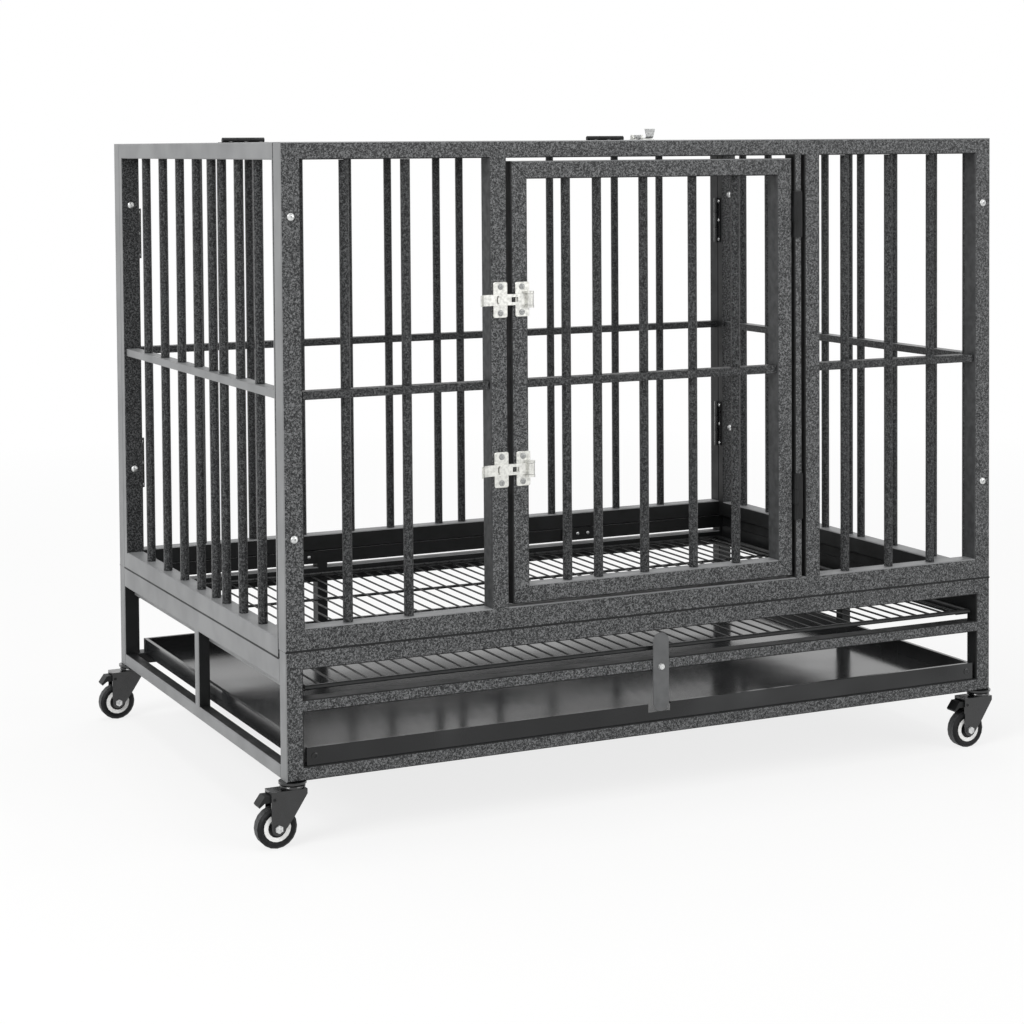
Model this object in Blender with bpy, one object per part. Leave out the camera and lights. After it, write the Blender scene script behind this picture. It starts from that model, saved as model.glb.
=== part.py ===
# A rolling dog crate of welded steel tube: barred side panels, a front door with two
# latches, a hinged roof lid, a base with a pull-out tray and a floor grid, four casters.
# Metres, +Z up. X runs along the front, the front faces -Y, the ground is z = 0.
# Sizes are named below; each shape is worked out from them in crate coordinates,
# whose origin lies on the ground under the middle of the frame.

import math

import bmesh
import bpy
from mathutils import Matrix, Vector

# The gap left between two pieces that rest on each other
FIT = 0.0003

# The frame as a whole
FRAME_W = 1.020
FRAME_D = 0.720
FRAME_TOP = 0.836
BASE_TOP = 0.233
SIDE_BASE_TOP = 0.222
BASE_BOTTOM = 0.078
EDGE = 0.0012

# Panels of the cage: their tubes, and the round bars in their windows
PANEL_T = 0.025
POST_W = 0.025
TOP_RAIL_H = 0.021
BOTTOM_RAIL_H = 0.027
SIDE_BOTTOM_RAIL_H = 0.0235
MID_RAIL_H = 0.010
MID_RAIL_D = 0.018
BAR_D = 0.012
BAR_SIDES = 10
BAR_SEAT = 0.004
FRONT_END_BAR_T = 0.005
REAR_END_BAR_T = 0.015

# Heights as shares of the way up the cage, and places along the front as shares of its width
MID_RAIL_SHARE = 0.5025
DOOR_HINGE_SHARES = (0.8375, 0.2231)
CORNER_HINGE_SHARES = (0.7852, 0.2330)
LATCH_SHARES = (0.6766, 0.3292)
ROOF_HINGE_SHARES = (-0.3167, 0.2725)
ROOF_LATCH_SHARE = -0.0137

# Where the bars stand, as shares of the way across each window
FRONT_LEFT_BARS = (0.242, 0.566)
FRONT_RIGHT_BARS = (0.187, 0.466, 0.737)
DOOR_BARS = (0.163, 0.284, 0.468, 0.666, 0.842)
REAR_BARS = (0.100, 0.180, 0.261, 0.341, 0.408, 0.491, 0.531, 0.597, 0.692, 0.811, 0.895)
LEFT_BARS = (0.133, 0.247, 0.351, 0.417, 0.515, 0.630, 0.750, 0.875)
RIGHT_BARS = (0.130, 0.280, 0.410, 0.459, 0.559, 0.693, 0.812, 0.932)

# The doorway in the front panel, and the door in it
DOORWAY_LEFT = -0.218
DOORWAY_RIGHT = 0.197
INNER_POST_W = 0.023
HINGE_BAR_W = 0.0105
HINGE_BAR_SLIT = 0.005
DOOR_TUBE = 0.022
DOOR_LATCH_GAP = 0.006
DOOR_HINGE_GAP = 0.0045
DOOR_TOP_GAP = 0.004
DOOR_BOTTOM_GAP = 0.0032

# The roof lid, which lies inside the panels' top rails
ROOF_GAP = 0.003
ROOF_TUBE_W = 0.022
ROOF_TUBE_H = 0.021
ROOF_BAR_COUNT = 11
ROOF_CROSS_W = 0.016
ROOF_CROSS_H = 0.010

# Butt hinges: knuckles in thirds of the length, plain leaves
LEAF_T = 0.0013
PIN_R = 0.0013
PIN_CLEARANCE = 0.0005
KNUCKLE_GAP = 0.0004
KNUCKLE_SIDES = 12
DOOR_HINGE_R = 0.0032
DOOR_HINGE_LENGTH = 0.060
DOOR_LEAF_W = 0.020
ROOF_HINGE_R = 0.004
ROOF_HINGE_LENGTH = 0.064
ROOF_LEAF_W = 0.021
CORNER_HINGE_LENGTH = 0.072
CORNER_LEAF_W = 0.009

# Front latches: a hinged arm on the door whose slot drops over a tongue on the post
LATCH_STILE_INSET = 0.0215
LATCH_REACH = 0.070
PLATE_CORNER_R = 0.0025
EAR_FOOT_SHARE = 0.96
TAB_KNEE = (0.55, 0.25)
LATCH = {
    "barrel_r": 0.005,
    "ring_r": 0.0046,
    "pin_r": 0.0018,
    "bore_r": 0.0022,
    "plate_t": 0.002,
    "mount_from": -0.0015,
    "mount_to": 0.0172,
    "mount_half": 0.0215,
    "ear_h": 0.003,
    "arm_half": 0.0068,
    "arm_t": 0.0018,
    "arm_lift": 0.0005,
    "bend": 0.054,
    "tab_rise": 0.0096,
    "tongue_at": 0.042,
    "tongue_t": 0.0012,
    "tongue_half": 0.0035,
    "tongue_proud": 0.0025,
    "slot_clearance": 0.0009,
    "slot_end_clearance": 0.0015,
    "keeper_from": 0.028,
    "keeper_to": 0.047,
    "keeper_half": 0.022,
    "notch": (0.0148, 0.0236, 0.0031),
    "flare": 1.0,
}

# Roof latch: a smaller one of the same kind, with an upright tab that widens upwards
ROOF_LATCH_RISE = 0.014
ROOF_LATCH_INSET = 0.014
ROOF_LATCH = {
    "barrel_r": 0.0027,
    "ring_r": 0.0025,
    "pin_r": 0.0009,
    "bore_r": 0.0012,
    "plate_t": 0.001,
    "mount_from": -0.004,
    "mount_to": 0.0115,
    "mount_half": 0.009,
    "ear_h": 0.003,
    "arm_half": 0.0045,
    "arm_t": 0.001,
    "arm_lift": 0.0004,
    "bend": 0.0325,
    "tongue_at": 0.027,
    "tongue_t": 0.0012,
    "tongue_half": 0.002,
    "tongue_proud": 0.0015,
    "slot_clearance": 0.0009,
    "slot_end_clearance": 0.0008,
    "keeper_from": 0.0205,
    "keeper_to": 0.0335,
    "keeper_half": 0.008,
    "notch": None,
    "flare": 1.65,
}
ROOF_LATCH_REACH = 0.035

# The base under the cage
BASE_TUBE = 0.022
BASE_TOP_RAIL_H = 0.022
BASE_BOTTOM_RAIL_H = 0.0165
BASE_SIDE_T = 0.016
BASE_SIDE_RAIL_H = 0.028
BASE_REAR_RAIL_H = 0.0205
BASE_MID_POST_W = 0.016
BASE_MID_POST_Y = -0.0085
FRONT_MID_RAIL = (0.160, 0.1745)
REAR_MID_RAIL = (0.174, 0.196)
REAR_POST_X = -0.204
REAR_POST_W = 0.016
RUNNER_T = 0.0015
RUNNER_W = 0.0237
RUNNER_LEG = 0.0233
RUNNER_SEAT = 0.0005
TRAY_REST_T = 0.002
TRAY_REST_W = 0.012
TRAY_REST_INSET = 0.002

# The floor grid and the tray, which slide out over and under the front mid rail
SLIDE_GAP = 0.0045
GRID_FRONT = 0.008
GRID_REAR_GAP = 0.006
GRID_LIFT = 0.0075
GRID_RIM_D = 0.0055
GRID_RIM_LIFT = 0.0022
GRID_RIM_EDGE = 0.0015
GRID_WIRE_D = 0.0028
GRID_WIRE_SIDES = 6
GRID_PITCH = 0.0209
GRID_ROD_D = 0.004
GRID_ROD_SIDES = 8
GRID_ROD_COUNT = 3
TRAY_SHEET = 0.0012
TRAY_HEIGHT = 0.0217
TRAY_FRONT = 0.003
TRAY_REAR_GAP = 0.005
TRAY_HEM_W = 0.005
TRAY_HEM_H = 0.003
TRAY_NOTCH_DEPTH = 0.011
TRAY_NOTCH_CLEARANCE = 0.005

# The turn plate that holds the grid and the tray in
TURN_PLATE_X = -0.006
TURN_PLATE_W = 0.0226
TURN_PLATE_BOTTOM = 0.107
TURN_PLATE_TOP = 0.208
TURN_PLATE_T = 0.002
TURN_PIVOT_Z = 0.1645
TURN_SCREW_R = 0.002
TURN_SCREW_CLEARANCE = 0.0003
TURN_SCREW_HEAD_R = 0.0045
TURN_SCREW_HEAD_H = 0.0025
TURN_SCREW_DOME_SHARE = 0.8

# Casters: a swivelling fork with a braked twin-bearing wheel behind its stem
WHEEL_R = 0.025
WHEEL_W = 0.018
RIM_R = 0.0168
RING_INNER_R = 0.0115
RING_RECESS = 0.0016
HUB_R = 0.0065
HUB_HALF = 0.0098
AXLE_R = 0.003
AXLE_CLEARANCE = 0.0005
AXLE_HEAD_R = 0.005
AXLE_HEAD_T = 0.003
TRAIL = 0.022
STEM_INSET = 0.011
MOUNT_PLATE_R = 0.017
MOUNT_PLATE_T = 0.0027
MOUNT_HEAD_R = 0.013
KINGPIN_R = 0.0045
KINGPIN_HEAD_R = 0.008
KINGPIN_HEAD_T = 0.0025
CROWN_TOP = 0.069
CROWN_T = 0.003
CHEEK_T = 0.0018
CHEEK_GAP = 0.0005
FORK_REAR = 0.0085
FORK_FRONT = 0.0145
FORK_WAIST = (-0.003, 0.036)
BRAKE_W = 0.0186
BRAKE_PIVOT = (-0.0265, 0.0600)
BRAKE_PIN_R = 0.0017
BRAKE_TOE = (-0.0445, 0.0515)
BRAKE_FRONT = 0.004
BRAKE_ABOVE = 0.0045
BRAKE_BELOW = 0.0035
BRAKE_SLOPE = 0.0065
BRAKE_TOE_T = 0.0023
TURN_SIDES = 20

# Points closer than this are one point, and faces flatter than this are one face
SAME_POINT = 1e-6
SAME_PLANE = 1e-4


# Materials

PAINT_GREY = ("grey_paint", (0.25, 0.26, 0.27), 0.45, 0.6)
PAINT_BLACK = ("black_paint", (0.02, 0.02, 0.022), 0.5, 0.2)
BARE_STEEL = ("bare_steel", (0.62, 0.62, 0.61), 0.3, 1.0)
BLACK_STEEL = ("black_steel", (0.03, 0.03, 0.032), 0.4, 0.5)
WHITE_PLASTIC = ("white_plastic", (0.75, 0.75, 0.73), 0.45, 0.0)
TYRE_RUBBER = ("tyre_rubber", (0.12, 0.12, 0.125), 0.7, 0.0)
TRAY_STEEL = ("tray_steel", (0.05, 0.05, 0.055), 0.5, 0.4)


def material(look):
    """The material with this name, colour, roughness and metallic value, made once."""
    name, colour, roughness, metallic = look
    found = bpy.data.materials.get(name)
    if found:
        return found
    made = bpy.data.materials.new(name)
    made.use_nodes = True
    surface = made.node_tree.nodes["Principled BSDF"]
    surface.inputs["Base Color"].default_value = (*colour, 1.0)
    surface.inputs["Roughness"].default_value = roughness
    surface.inputs["Metallic"].default_value = metallic
    return made


# Shapes, each made as a loose object in crate coordinates

PLANES = {
    "XZ": Matrix(((1, 0, 0), (0, 0, -1), (0, 1, 0))).to_4x4(),
    "YZ": Matrix(((0, 0, 1), (1, 0, 0), (0, 1, 0))).to_4x4(),
    "XY": Matrix.Identity(4),
}


def loose(mesh, name="piece"):
    """A new object with this mesh, in the scene."""
    made = bpy.data.objects.new(name, mesh)
    bpy.context.scene.collection.objects.link(made)
    return made


def from_bmesh(shape):
    """A loose object from a bmesh, its faces turned outwards."""
    bmesh.ops.recalc_face_normals(shape, faces=shape.faces[:])
    mesh = bpy.data.meshes.new("piece")
    shape.to_mesh(mesh)
    shape.free()
    return loose(mesh)


def evaluated_mesh(thing):
    """The mesh that an object has once its curve or modifiers are worked out."""
    bpy.context.view_layer.update()
    graph = bpy.context.evaluated_depsgraph_get()
    return bpy.data.meshes.new_from_object(thing.evaluated_get(graph))


def remove(thing):
    """Take an object and its data out of the file."""
    data = thing.data
    bpy.data.objects.remove(thing)
    if isinstance(data, bpy.types.Mesh):
        bpy.data.meshes.remove(data)
    elif isinstance(data, bpy.types.Curve):
        bpy.data.curves.remove(data)


def tidy(shape):
    """Merge doubled points and join flat neighbouring faces."""
    bmesh.ops.remove_doubles(shape, verts=shape.verts[:], dist=SAME_POINT)
    bmesh.ops.dissolve_limit(shape, angle_limit=SAME_PLANE, verts=shape.verts[:], edges=shape.edges[:])


def refill_ends(shape, height):
    """Give an extruded outline one flat face at each end, in place of many triangles."""
    for end in (-height, height):
        cap = [face for face in shape.faces if all(abs(vert.co.z - end) < SAME_POINT for vert in face.verts)]
        bmesh.ops.delete(shape, geom=cap, context="FACES")
    bmesh.ops.edgeloop_fill(shape, edges=[edge for edge in shape.edges if edge.is_boundary])


def slab(outline, plane, low, high, windows=(), edge=0.0):
    """An outline with windows, extruded from low to high, its outer edges chamfered."""
    curve = bpy.data.curves.new("outline", "CURVE")
    curve.dimensions = "2D"
    curve.fill_mode = "BOTH"
    curve.extrude = (high - low) / 2 - edge
    curve.bevel_depth = edge
    curve.bevel_resolution = 0
    curve.offset = -edge
    loops = [outline] + [list(reversed(window)) for window in windows]
    for points in loops:
        spline = curve.splines.new("POLY")
        spline.points.add(len(points) - 1)
        for point, (across, up) in zip(spline.points, points):
            point.co = (across, up, 0.0, 1.0)
        spline.use_cyclic_u = True
    guide = loose(curve, "outline")
    mesh = evaluated_mesh(guide)
    remove(guide)
    shape = bmesh.new()
    shape.from_mesh(mesh)
    bpy.data.meshes.remove(mesh)
    tidy(shape)
    if not windows:
        refill_ends(shape, (high - low) / 2)
    middle = (low + high) / 2 * (-1 if plane == "XZ" else 1)
    place = PLANES[plane] @ Matrix.Translation((0, 0, middle))
    bmesh.ops.transform(shape, matrix=place, verts=shape.verts[:])
    return from_bmesh(shape)


def box_outline(left, right, bottom, top):
    """The four corners of a rectangle, anticlockwise."""
    return [(left, bottom), (right, bottom), (right, top), (left, top)]


def tube(x, y, z, edge=EDGE):
    """A straight square tube or bar between the limits given along each axis."""
    spans = {"YZ": x[1] - x[0], "XZ": y[1] - y[0], "XY": z[1] - z[0]}
    plane = max(spans, key=spans.get)
    if plane == "YZ":
        return slab(box_outline(*y, *z), "YZ", *x, edge=edge)
    if plane == "XZ":
        return slab(box_outline(*x, *z), "XZ", *y, edge=edge)
    return slab(box_outline(*x, *y), "XY", *z, edge=edge)


def arc(centre, radius, start, end, steps):
    """Points along an arc; the angles are in degrees, anticlockwise."""
    turns = [math.radians(start + (end - start) * step / steps) for step in range(steps + 1)]
    return [(centre[0] + radius * math.cos(turn), centre[1] + radius * math.sin(turn)) for turn in turns]


def rounded(left, right, bottom, top, radius):
    """The outline of a rectangle with rounded corners, anticlockwise."""
    outline = []
    centres = ((right, bottom, 270), (right, top, 0), (left, top, 90), (left, bottom, 180))
    for across, up, start in centres:
        centre = (across - math.copysign(radius, across - (left + right) / 2),
                  up - math.copysign(radius, up - (bottom + top) / 2))
        outline += arc(centre, radius, start, start + 90, 3)
    return outline


def rod(start, end, radius, sides=BAR_SIDES):
    """A round bar between two points."""
    start = Vector(start)
    way = Vector(end) - start
    shape = bmesh.new()
    place = Matrix.Translation(start + way / 2) @ way.to_track_quat("Z", "Y").to_matrix().to_4x4()
    bmesh.ops.create_cone(
        shape, cap_ends=True, segments=sides, radius1=radius, radius2=radius, depth=way.length, matrix=place
    )
    return from_bmesh(shape)


def turned(profile, axis="Z", sides=TURN_SIDES):
    """A closed profile of (radius, height) points spun about an axis through the origin."""
    shape = bmesh.new()
    corners = [shape.verts.new((radius, 0.0, height)) for radius, height in profile]
    ring = [shape.edges.new((corners[i - 1], corners[i])) for i in range(len(corners))]
    bmesh.ops.spin(
        shape,
        geom=corners + ring,
        cent=(0, 0, 0),
        axis=(0, 0, 1),
        angle=2 * math.pi,
        steps=sides,
        use_merge=True,
    )
    bmesh.ops.remove_doubles(shape, verts=shape.verts[:], dist=SAME_POINT)
    on_axis = [edge for edge in shape.edges if not edge.link_faces]
    bmesh.ops.delete(shape, geom=on_axis, context="EDGES")
    if axis == "Y":
        bmesh.ops.rotate(shape, matrix=Matrix.Rotation(math.radians(-90), 3, "X"), verts=shape.verts[:])
    return from_bmesh(shape)


def moved(thing, matrix):
    """The same object with its mesh moved by a matrix."""
    thing.data.transform(matrix)
    return thing


def at(thing, x, y, z):
    """The same object with its mesh shifted."""
    return moved(thing, Matrix.Translation((x, y, z)))


def joined(pieces):
    """Several loose objects as one object of separate solids."""
    shape = bmesh.new()
    for piece in pieces:
        shape.from_mesh(piece.data)
        remove(piece)
    mesh = bpy.data.meshes.new("piece")
    shape.to_mesh(mesh)
    shape.free()
    return loose(mesh)


def combined(body, tools, operation):
    """The body with tools, which are clear of each other, added to it or cut from it."""
    tool = joined(tools)
    change = body.modifiers.new("change", "BOOLEAN")
    change.operation = operation
    change.object = tool
    mesh = evaluated_mesh(body)
    remove(body)
    remove(tool)
    shape = bmesh.new()
    shape.from_mesh(mesh)
    bpy.data.meshes.remove(mesh)
    tidy(shape)
    return from_bmesh(shape)


def welded(body, *tools):
    """Tools that are clear of each other, welded to the body."""
    return combined(body, tools, "UNION")


def cut(body, *tools):
    """Tools that are clear of each other, cut out of the body."""
    return combined(body, tools, "DIFFERENCE")


def spread(shares, low, high):
    """Places at these shares of the way from low to high."""
    return [low + share * (high - low) for share in shares]


def even_steps(low, high, count):
    """This many places between low and high, evenly apart."""
    return [low + (high - low) * (step + 1) / (count + 1) for step in range(count)]


def node(name, thing, look, origin=(0, 0, 0), parent=None):
    """Name a finished piece, give it its material, origin and parent, and shade it."""
    thing.name = name
    thing.data.name = name
    thing.data.transform(Matrix.Translation(-Vector(origin)))
    thing.data.materials.clear()
    thing.data.materials.append(material(look))
    thing.data.shade_smooth()
    thing.data.set_sharp_from_angle(angle=math.radians(35))
    thing.parent = parent
    thing.location = Vector(origin) - (parent.location if parent and parent.parent else Vector())
    return thing


# Places that several pieces share

def up(share):
    """The height at this share of the way from the base's top to the frame's top."""
    return BASE_TOP + share * (FRAME_TOP - BASE_TOP)


HALF_W = FRAME_W / 2
HALF_D = FRAME_D / 2
FRONT = -HALF_D
REAR = HALF_D
PANEL_BOTTOM = BASE_TOP + FIT
WINDOW_BOTTOM = PANEL_BOTTOM + BOTTOM_RAIL_H
SIDE_PANEL_BOTTOM = SIDE_BASE_TOP + FIT
SIDE_WINDOW_BOTTOM = SIDE_PANEL_BOTTOM + SIDE_BOTTOM_RAIL_H
WINDOW_TOP = FRAME_TOP - TOP_RAIL_H
MID_RAIL_Z = up(MID_RAIL_SHARE)
WINDOW_SIDE = HALF_W - POST_W
FRONT_BACK = FRONT + PANEL_T
REAR_FACE = REAR - PANEL_T
SIDE_FACE = HALF_W - PANEL_T
DOOR_LEFT = DOORWAY_LEFT + DOOR_LATCH_GAP
DOOR_RIGHT = DOORWAY_RIGHT - DOOR_HINGE_GAP
DOOR_AXIS = (DOOR_RIGHT + FIT + DOOR_HINGE_R, FRONT - FIT - DOOR_HINGE_R, MID_RAIL_Z)
ROOF_AXIS = (0.0, REAR_FACE - ROOF_GAP / 2, FRAME_TOP + FIT + ROOF_HINGE_R)
BASE_POST_FACE = HALF_W - BASE_TUBE
BASE_SIDE_FACE = HALF_W - BASE_SIDE_T
BASE_FRONT_BACK = FRONT + BASE_TUBE
BASE_REAR_FACE = REAR - BASE_TUBE
BASE_LOW_RAIL_TOP = BASE_BOTTOM + BASE_BOTTOM_RAIL_H
GRID_BOTTOM = FRONT_MID_RAIL[1] + GRID_LIFT
TRAY_BOTTOM = BASE_LOW_RAIL_TOP + FIT
SLIDE_HALF_W = BASE_POST_FACE - SLIDE_GAP


# Cage panels

def grille(plane, depth_middle, window, shares, gap=0.0):
    """Round bars across a window, welded to the flat mid rail that they pass through.

    A gap of 0 seats the ends inside the frame around the window, to be welded to it.
    """
    left, right, bottom, top = window
    seat = -gap if gap else BAR_SEAT
    bars = []
    for place in spread(shares, left, right):
        ends = [(place, depth_middle, bottom - seat), (place, depth_middle, top + seat)]
        if plane == "YZ":
            ends = [(depth_middle, place, height) for _, _, height in ends]
        bars.append(rod(ends[0], ends[1], BAR_D / 2))
    along = (left - seat, right + seat)
    depth = (depth_middle - MID_RAIL_D / 2, depth_middle + MID_RAIL_D / 2)
    rail_z = (MID_RAIL_Z - MID_RAIL_H / 2, MID_RAIL_Z + MID_RAIL_H / 2)
    if plane == "XZ":
        return welded(tube(along, depth, rail_z), *bars)
    return welded(tube(depth, along, rail_z), *bars)


def front_frame(crate):
    """The front panel's welded frame: posts, rails, and the bar that carries the door hinges."""
    inner_left = DOORWAY_LEFT - INNER_POST_W
    slit = DOORWAY_RIGHT + HINGE_BAR_W
    inner_right = slit + HINGE_BAR_SLIT + INNER_POST_W
    windows = [
        box_outline(-WINDOW_SIDE, inner_left, WINDOW_BOTTOM, WINDOW_TOP),
        box_outline(DOORWAY_LEFT, DOORWAY_RIGHT, WINDOW_BOTTOM, WINDOW_TOP),
        box_outline(slit, slit + HINGE_BAR_SLIT, WINDOW_BOTTOM, WINDOW_TOP),
        box_outline(inner_right, WINDOW_SIDE, WINDOW_BOTTOM, WINDOW_TOP),
    ]
    outline = box_outline(-HALF_W, HALF_W, PANEL_BOTTOM, FRAME_TOP)
    frame = slab(outline, "XZ", FRONT, FRONT_BACK, windows, EDGE)
    node("front_frame", frame, PAINT_GREY, parent=crate)
    middle = FRONT + PANEL_T / 2
    left = (-WINDOW_SIDE, inner_left, WINDOW_BOTTOM, WINDOW_TOP)
    right = (inner_right, WINDOW_SIDE, WINDOW_BOTTOM, WINDOW_TOP)
    node("front_grille_left", grille("XZ", middle, left, FRONT_LEFT_BARS, FIT), PAINT_GREY, parent=crate)
    node("front_grille_right", grille("XZ", middle, right, FRONT_RIGHT_BARS, FIT), PAINT_GREY, parent=crate)


def rear_panel(crate):
    """The rear panel: frame, mid rail and bars welded into one."""
    window = (-WINDOW_SIDE, WINDOW_SIDE, SIDE_WINDOW_BOTTOM, WINDOW_TOP)
    outline = box_outline(-HALF_W, HALF_W, SIDE_PANEL_BOTTOM, FRAME_TOP)
    frame = slab(outline, "XZ", REAR_FACE, REAR, [box_outline(*window)], EDGE)
    bars = grille("XZ", REAR - PANEL_T / 2, window, REAR_BARS)
    node("rear_panel", welded(frame, bars), PAINT_GREY, parent=crate)


def side_panel(crate, name, side, shares):
    """A side panel, which stands between the front and rear panels."""
    start = FRONT_BACK + FIT
    end = REAR_FACE - FIT
    window = (start + FRONT_END_BAR_T, end - REAR_END_BAR_T, SIDE_WINDOW_BOTTOM, WINDOW_TOP)
    limits = sorted((side * SIDE_FACE, side * HALF_W))
    outline = box_outline(start, end, SIDE_PANEL_BOTTOM, FRAME_TOP)
    frame = slab(outline, "YZ", *limits, [box_outline(*window)], EDGE)
    bars = grille("YZ", side * (HALF_W - PANEL_T / 2), window, shares)
    node(name, welded(frame, bars), PAINT_GREY, parent=crate)


# Hinges

def hinge_half(radius, length, leaf_width, fixed):
    """One half of a butt hinge about the Z axis, its leaf towards +X (fixed) or -X.

    The fixed half has the outer knuckles and the pin; the other has the middle knuckle.
    The back of both leaves lies at y = radius.
    """
    third = length / 6
    clear = radius + PIN_CLEARANCE
    if fixed:
        tab = third + KNUCKLE_GAP / 2
        profile = [(0, -length / 2), (radius, -length / 2), (radius, -tab), (PIN_R, -tab)]
        profile += [(PIN_R, tab), (radius, tab), (radius, length / 2), (0, length / 2)]
        leaf = [(0, -length / 2), (leaf_width, -length / 2), (leaf_width, length / 2), (0, length / 2)]
        leaf += [(0, tab), (clear, tab), (clear, -tab), (0, -tab)]
    else:
        tab = third - KNUCKLE_GAP / 2
        bore = PIN_R + PIN_CLEARANCE
        profile = [(bore, -tab), (radius, -tab), (radius, tab), (bore, tab)]
        leaf = [(0, -tab), (0, tab), (-clear, tab), (-clear, length / 2)]
        leaf += [(-leaf_width, length / 2), (-leaf_width, -length / 2), (-clear, -length / 2), (-clear, -tab)]
        leaf.reverse()
    knuckles = turned(profile, sides=KNUCKLE_SIDES)
    return welded(knuckles, slab(leaf, "XZ", radius - LEAF_T, radius))


def door_hinges(crate):
    """Two hinges: one leaf on the face of the hinge bar, one on the side of the door's stile."""
    bar_leaf = DOORWAY_RIGHT + HINGE_BAR_W - DOOR_AXIS[0]
    turn = Matrix.Rotation(math.radians(90), 4, "Z") @ Matrix.Rotation(math.pi, 4, "Y")
    for label, share in zip(("upper", "lower"), DOOR_HINGE_SHARES):
        place = (DOOR_AXIS[0], DOOR_AXIS[1], up(share))
        bar_half = at(hinge_half(DOOR_HINGE_R, DOOR_HINGE_LENGTH, bar_leaf, True), *place)
        door_half = moved(hinge_half(DOOR_HINGE_R, DOOR_HINGE_LENGTH, DOOR_LEAF_W, False), turn)
        at(door_half, *place)
        node(f"door_hinge_{label}_bar_half", bar_half, BLACK_STEEL, origin=DOOR_AXIS, parent=crate)
        node(f"door_hinge_{label}_door_half", door_half, BLACK_STEEL, origin=DOOR_AXIS, parent=crate)


def roof_hinges(crate):
    """Two hinges on top of the rear rail and the lid's rear tube."""
    lie_flat = Matrix(((0, 0, -1), (1, 0, 0), (0, -1, 0))).to_4x4()
    for label, share in zip(("left", "right"), ROOF_HINGE_SHARES):
        for end, fixed in (("rail_half", True), ("lid_half", False)):
            half = moved(hinge_half(ROOF_HINGE_R, ROOF_HINGE_LENGTH, ROOF_LEAF_W, fixed), lie_flat)
            at(half, share * FRAME_W, ROOF_AXIS[1], ROOF_AXIS[2])
            node(f"roof_hinge_{label}_{end}", half, BLACK_STEEL, origin=ROOF_AXIS, parent=crate)


def corner_hinge():
    """A hinge lying open, its pin line on the Z axis, as one closed piece."""
    radius = DOOR_HINGE_R
    groove = radius - KNUCKLE_GAP
    top = CORNER_HINGE_LENGTH / 2
    profile = [(0, -top), (radius, -top)]
    for line in (-top / 3, top / 3):
        profile += [(radius, line - KNUCKLE_GAP), (groove, line), (radius, line + KNUCKLE_GAP)]
    profile += [(radius, top), (0, top)]
    barrel = turned(profile, sides=KNUCKLE_SIDES)
    leaves = box_outline(radius - LEAF_T, radius, -CORNER_LEAF_W, CORNER_LEAF_W)
    return welded(barrel, slab(leaves, "XY", -top, top))


def corner_hinges(crate):
    """Hinges inside the rear corners, across the joint, on which the unbolted sides fold in."""
    across = SIDE_FACE - FIT - DOOR_HINGE_R
    back = REAR_FACE - FIT / 2
    for side, side_name in ((-1, "left"), (1, "right")):
        turn = Matrix.Rotation(0 if side == 1 else math.pi, 4, "Y")
        for label, share in zip(("upper", "lower"), CORNER_HINGE_SHARES):
            hinge = at(moved(corner_hinge(), turn), side * across, back, up(share))
            node(f"corner_hinge_{label}_{side_name}", hinge, BLACK_STEEL, parent=crate)


# Door and roof lid

def door(crate):
    """The door: a tube frame with a mid rail and bars, its origin on the hinge axis."""
    bottom = WINDOW_BOTTOM + DOOR_BOTTOM_GAP
    top = WINDOW_TOP - DOOR_TOP_GAP
    window = (DOOR_LEFT + DOOR_TUBE, DOOR_RIGHT - DOOR_TUBE, bottom + DOOR_TUBE, top - DOOR_TUBE)
    outline = box_outline(DOOR_LEFT, DOOR_RIGHT, bottom, top)
    frame = slab(outline, "XZ", FRONT, FRONT_BACK, [box_outline(*window)], EDGE)
    bars = grille("XZ", FRONT + PANEL_T / 2, window, DOOR_BARS)
    node("door", welded(frame, bars), PAINT_GREY, origin=DOOR_AXIS, parent=crate)


def roof_lid(crate):
    """The roof lid: a tube frame, bars from front to back and one cross rail."""
    half_w = SIDE_FACE - ROOF_GAP
    front = FRONT_BACK + ROOF_GAP
    rear = REAR_FACE - ROOF_GAP
    bottom = FRAME_TOP - ROOF_TUBE_H
    middle = FRAME_TOP - ROOF_TUBE_H / 2
    window = (-half_w + ROOF_TUBE_W, half_w - ROOF_TUBE_W, front + ROOF_TUBE_W, rear - ROOF_TUBE_W)
    outline = box_outline(-half_w, half_w, front, rear)
    frame = slab(outline, "XY", bottom, FRAME_TOP, [box_outline(*window)], EDGE)
    bars = []
    for place in even_steps(window[0], window[1], ROOF_BAR_COUNT):
        ends = (place, window[2] - BAR_SEAT, middle), (place, window[3] + BAR_SEAT, middle)
        bars.append(rod(*ends, BAR_D / 2))
    cross = tube(
        (window[0] - BAR_SEAT, window[1] + BAR_SEAT),
        (-ROOF_CROSS_H / 2, ROOF_CROSS_H / 2),
        (middle - ROOF_CROSS_W / 2, middle + ROOF_CROSS_W / 2),
    )
    node("roof_lid", welded(frame, welded(cross, *bars)), PAINT_GREY, origin=ROOF_AXIS, parent=crate)


# Latches, drawn about the barrel's axis: u runs from the barrel to the keeper,
# n points away from the door or the roof, and the barrel lies along a

def thick_line(path, thickness):
    """The outline of a sheet of even thickness whose middle follows a path."""
    sides = ([], [])
    for i, point in enumerate(path):
        before = Vector(path[max(i - 1, 0)])
        after = Vector(path[min(i + 1, len(path) - 1)])
        here = Vector(point)
        ways = [way.normalized() for way in (here - before, after - here) if way.length]
        normals = [Vector((-way.y, way.x)) for way in ways]
        across = (normals[0] + normals[-1]).normalized()
        reach = thickness / 2 / across.dot(normals[0])
        sides[0].append(tuple(here - across * reach))
        sides[1].append(tuple(here + across * reach))
    return sides[0] + sides[1][::-1]


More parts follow.
